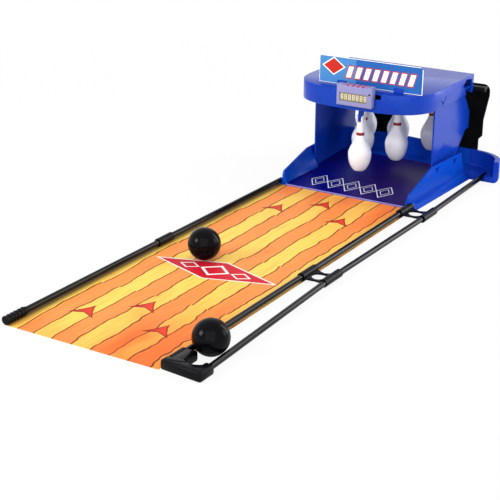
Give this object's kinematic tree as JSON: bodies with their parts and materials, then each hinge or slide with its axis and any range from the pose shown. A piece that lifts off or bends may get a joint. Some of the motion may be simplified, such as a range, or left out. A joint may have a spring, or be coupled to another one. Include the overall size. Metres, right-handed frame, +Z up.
{
  "type": "tabletop bowling game",
  "caption": "Lane mat between rails, with a ball return beside it, leading to a bow-fronted house where hinged pins hang over a ramped deck",
  "frame": {"origin": "on the table, at the middle of the flat strip under the deck's front sill, on the lane's centreline", "axes": "+X to the ball return, +Y from the player to the pins, +Z up"},
  "size_m": [0.3218, 0.9327, 0.2179],
  "materials": {
    "lane_print": "printed vinyl with drawn boards",
    "rail_tube": "gloss black",
    "black_fitting": "satin moulded",
    "blue_moulding": "royal blue gloss",
    "pin_white": "white with a dark red neck stripe",
    "steel_wire": "plain wire",
    "counter_grey": "lavender grey satin",
    "counter_lens": "clear",
    "display_face": "olive with cream digits",
    "circuit_board": "green lacquer",
    "sign_print": "printed card",
    "flap_rubber": "soft sheen",
    "ball_black": "polished"
  },
  "bodies": {
    "game": {"lane_mat": "lane_print", "left_rail_front_tube": "rail_tube", "left_rail_rear_tube": "rail_tube", "left_rail_coupler": "black_fitting", "left_rail_end_sleeve": "black_fitting", "inner_rail_front_tube": "rail_tube", "inner_rail_rear_tube": "rail_tube", "outer_rail_front_tube": "rail_tube", "outer_rail_middle_tube": "rail_tube", "outer_rail_rear_tube": "rail_tube", "near_spacer": "black_fitting", "far_spacer": "black_fitting", "end_stop": "black_fitting", "deck_tub": "blue_moulding", "return_tray": "blue_moulding", "left_side_wall": "blue_moulding", "right_side_wall": "blue_moulding", "hood": "blue_moulding", "pin_carrier": "blue_moulding", "pin_axle_1": "steel_wire", "pin_axle_2": "steel_wire", "pin_axle_3": "steel_wire", "pin_axle_4": "steel_wire", "pin_axle_5": "steel_wire", "pin_axle_6": "steel_wire", "counter_housing": "counter_grey", "counter_back_cover": "counter_grey", "counter_window": "counter_lens", "digit_display": "display_face", "counter_board": "circuit_board", "coin_cell": "steel_wire", "sign_card": "sign_print", "sign_clip_left": "blue_moulding", "sign_clip_right": "blue_moulding", "backstop_bar": "black_fitting", "backstop_flap_left": "flap_rubber", "backstop_flap_right": "flap_rubber"},
    "pin_one": {"pin_1": "pin_white"},
    "pin_two": {"pin_2": "pin_white"},
    "pin_three": {"pin_3": "pin_white"},
    "pin_four": {"pin_4": "pin_white"},
    "pin_five": {"pin_5": "pin_white"},
    "pin_six": {"pin_6": "pin_white"},
    "played_ball": {"ball_1": "ball_black"},
    "returned_ball": {"ball_2": "ball_black"},
    "button": {"reset_button": "black_fitting"}
  },
  "joints": [
    {"name": "pin_1_swing", "type": "hinge", "parent": "game", "child": "pin_one", "pos_m": [0, 0.0444, 0.1186], "axis": [1, 0, 0], "range_deg": [-25, 80]},
    {"name": "pin_2_swing", "type": "hinge", "parent": "game", "child": "pin_two", "pos_m": [-0.0312, 0.117, 0.1232], "axis": [1, 0, 0], "range_deg": [-25, 80]},
    {"name": "pin_3_swing", "type": "hinge", "parent": "game", "child": "pin_three", "pos_m": [0.0312, 0.117, 0.1232], "axis": [1, 0, 0], "range_deg": [-25, 80]},
    {"name": "pin_4_swing", "type": "hinge", "parent": "game", "child": "pin_four", "pos_m": [-0.0624, 0.1896, 0.1278], "axis": [1, 0, 0], "range_deg": [-25, 30]},
    {"name": "pin_5_swing", "type": "hinge", "parent": "game", "child": "pin_five", "pos_m": [0, 0.1896, 0.1278], "axis": [1, 0, 0], "range_deg": [-25, 80]},
    {"name": "pin_6_swing", "type": "hinge", "parent": "game", "child": "pin_six", "pos_m": [0.0624, 0.1896, 0.1278], "axis": [1, 0, 0], "range_deg": [-25, 38]},
    {"name": "played_ball_roll", "type": "slide", "parent": "game", "child": "played_ball", "axis": [0, 1, 0], "range_m": [-0.29, 0.34]},
    {"name": "returned_ball_roll", "type": "slide", "parent": "game", "child": "returned_ball", "axis": [-0.0176, 0.9997, 0.0191], "range_m": [0, 0.225]},
    {"name": "reset_button_press", "type": "slide", "parent": "game", "child": "button", "axis": [0, 1, 0], "range_m": [0, 0.0008], "stiffness_N_per_m": 300}
  ]
}
